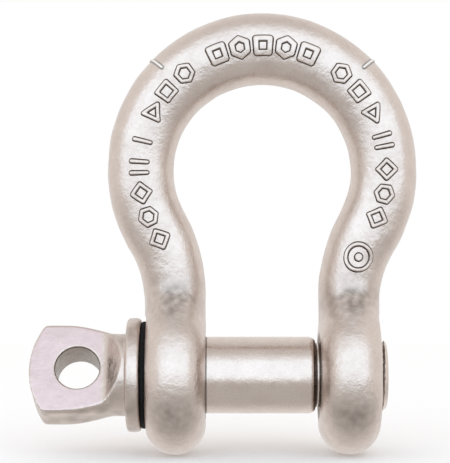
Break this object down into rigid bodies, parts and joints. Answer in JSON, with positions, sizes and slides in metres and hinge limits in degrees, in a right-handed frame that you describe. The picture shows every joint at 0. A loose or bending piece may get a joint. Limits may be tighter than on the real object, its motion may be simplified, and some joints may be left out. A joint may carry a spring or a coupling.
{
  "type": "bow shackle",
  "caption": "Forged bow shackle with round ears and a screw pin whose flattened handle has an eye.",
  "frame": {"origin": "on the pin's axis, midway between the two ears", "axes": "+X along the pin from its handle to its threaded end, +Z from the pin towards the crown of the bow"},
  "size_m": [0.1121, 0.046, 0.128],
  "materials": {
    "forged_steel": "satin galvanised forging",
    "pin_steel": "satin galvanised, shank turned",
    "rubber": "matte black rubber"
  },
  "bodies": {
    "bow": {"bow": "forged_steel"},
    "washer": {"washer": "rubber"},
    "screw_pin": {"screw_pin": "pin_steel"}
  },
  "joints": [
    {"name": "pin_travel", "type": "slide", "parent": "bow", "child": "washer", "axis": [-1, 0, 0], "range_m": [0, 0.0762]},
    {"name": "pin_turn", "type": "hinge", "parent": "washer", "child": "screw_pin", "pos_m": [0, 0, 0], "axis": [-1, 0, 0], "range_deg": [0, 9720]}
  ],
  "couplings": [
    {"joint": "pin_travel", "follows": "pin_turn", "m_per_rad": 0.00044914}
  ]
}
